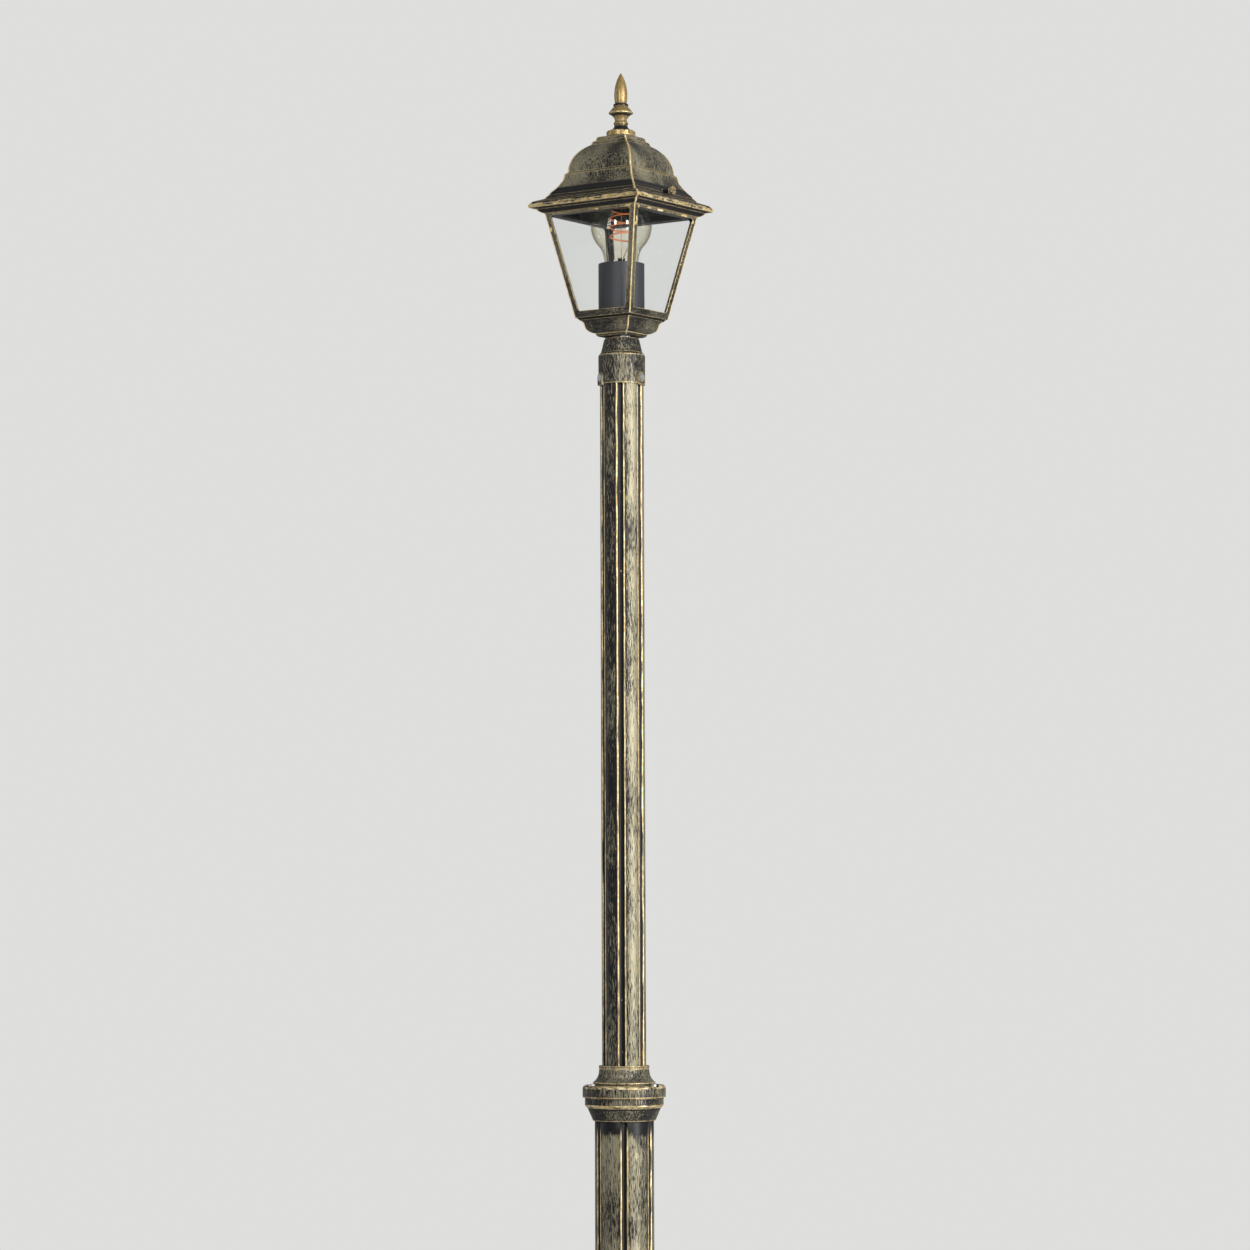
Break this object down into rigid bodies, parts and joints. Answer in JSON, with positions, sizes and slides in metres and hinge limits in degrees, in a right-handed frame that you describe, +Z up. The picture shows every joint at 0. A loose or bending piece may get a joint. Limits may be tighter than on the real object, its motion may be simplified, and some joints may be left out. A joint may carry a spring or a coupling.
{
  "type": "street lamp post",
  "caption": "Garden lamp post: round cast base, two fluted tubes joined by a cup coupling, and a tapered square lantern with glass sides, lift-off bell roof and finial.",
  "frame": {"origin": "centre of the base's underside, on the ground", "axes": "+Z up along the post; +X and +Y square to the lantern's glass sides, with the cap screws on +X and -X"},
  "size_m": [0.21, 0.21, 2],
  "materials": {
    "cast_paint": "satin black paint, dry-brushed with antique gold",
    "tube_paint": "satin black paint, dry-brushed with antique gold on the ridges",
    "roof_paint": "satin black paint, brushed grey with gold edges",
    "zinc": "bright zinc plate",
    "knob_gilt": "polished gilt",
    "brass": "bare brass",
    "nylon": "natural nylon",
    "terminal_plastic": "moulded",
    "rubber": "matt black",
    "lead_sheath": "smooth sheath",
    "pane_glass": "clear float glass",
    "sleeve": "slate grey, satin",
    "ceramic": "white glazed ceramic",
    "bulb_envelope": "faintly amber blown glass",
    "bulb_inner_glass": "clear glass",
    "wire": "nickel wire",
    "filament": "soft coated filament, unlit"
  },
  "bodies": {
    "post": {"base_casting": "cast_paint", "base_set_screws": "zinc", "terminal_bracket": "zinc", "bracket_screws": "zinc", "terminal_block": "terminal_plastic", "terminal_screws": "brass", "block_screws": "zinc", "earth_screw": "brass", "earth_nut": "brass", "cable_grommet": "rubber", "internal_lead": "lead_sheath", "lower_post": "tube_paint", "post_coupling": "cast_paint", "upper_collar": "cast_paint", "joint_screws": "zinc", "upper_post": "tube_paint", "top_collar": "cast_paint", "collar_screws": "zinc", "lantern_stem": "zinc", "stem_nut_lower": "zinc", "stem_nut_middle": "zinc", "stem_washer": "zinc", "stem_nut_upper": "zinc", "neck_plate": "cast_paint", "lantern_base": "cast_paint", "lantern_cage": "cast_paint", "glass_right": "pane_glass", "glass_back": "pane_glass", "glass_left": "pane_glass", "glass_front": "pane_glass", "glass_clips": "zinc", "holder_bracket": "zinc", "holder_screws": "zinc", "holder_body": "ceramic", "holder_shell": "brass", "holder_contact": "brass", "holder_sleeve": "sleeve"},
    "roof": {"roof": "roof_paint", "finial": "cast_paint", "finial_washer": "zinc", "finial_nut": "zinc"},
    "cap_washer_right": {"cap_washer_right": "nylon"},
    "cap_screw_right": {"cap_screw_right": "knob_gilt"},
    "cap_washer_left": {"cap_washer_left": "nylon"},
    "cap_screw_left": {"cap_screw_left": "knob_gilt"},
    "bulb_foot": {"bulb_foot_contact": "zinc"},
    "bulb": {"bulb_insulator": "ceramic", "bulb_cap": "zinc", "bulb_glass": "bulb_envelope", "bulb_stem": "bulb_inner_glass", "bulb_wires": "wire", "bulb_filament": "filament"}
  },
  "joints": [
    {"name": "roof_lift", "type": "slide", "parent": "post", "child": "roof", "axis": [0, 0, 1], "range_m": [0, 0.12]},
    {"name": "cap_screw_right_travel", "type": "slide", "parent": "roof", "child": "cap_washer_right", "axis": [1, 0, 0], "range_m": [0, 0.00281]},
    {"name": "cap_screw_right_turn", "type": "hinge", "parent": "cap_washer_right", "child": "cap_screw_right", "pos_m": [0.06, 0, 1.878], "axis": [1, 0, 0], "range_deg": [0, 1440]},
    {"name": "cap_screw_left_travel", "type": "slide", "parent": "roof", "child": "cap_washer_left", "axis": [-1, 0, 0], "range_m": [0, 0.00281]},
    {"name": "cap_screw_left_turn", "type": "hinge", "parent": "cap_washer_left", "child": "cap_screw_left", "pos_m": [-0.06, 0, 1.878], "axis": [-1, 0, 0], "range_deg": [0, 1440]},
    {"name": "bulb_rise", "type": "slide", "parent": "post", "child": "bulb_foot", "axis": [0, 0, 1], "range_m": [0, 0.0182]},
    {"name": "bulb_turn", "type": "hinge", "parent": "bulb_foot", "child": "bulb", "pos_m": [0, 0, 1.8], "axis": [0, 0, 1], "range_deg": [0, 1800]}
  ],
  "couplings": [
    {"joint": "cap_screw_right_travel", "follows": "cap_screw_right_turn", "m_per_rad": 0.00011141},
    {"joint": "cap_screw_left_travel", "follows": "cap_screw_left_turn", "m_per_rad": 0.00011141},
    {"joint": "bulb_rise", "follows": "bulb_turn", "m_per_rad": 0.00057757}
  ]
}
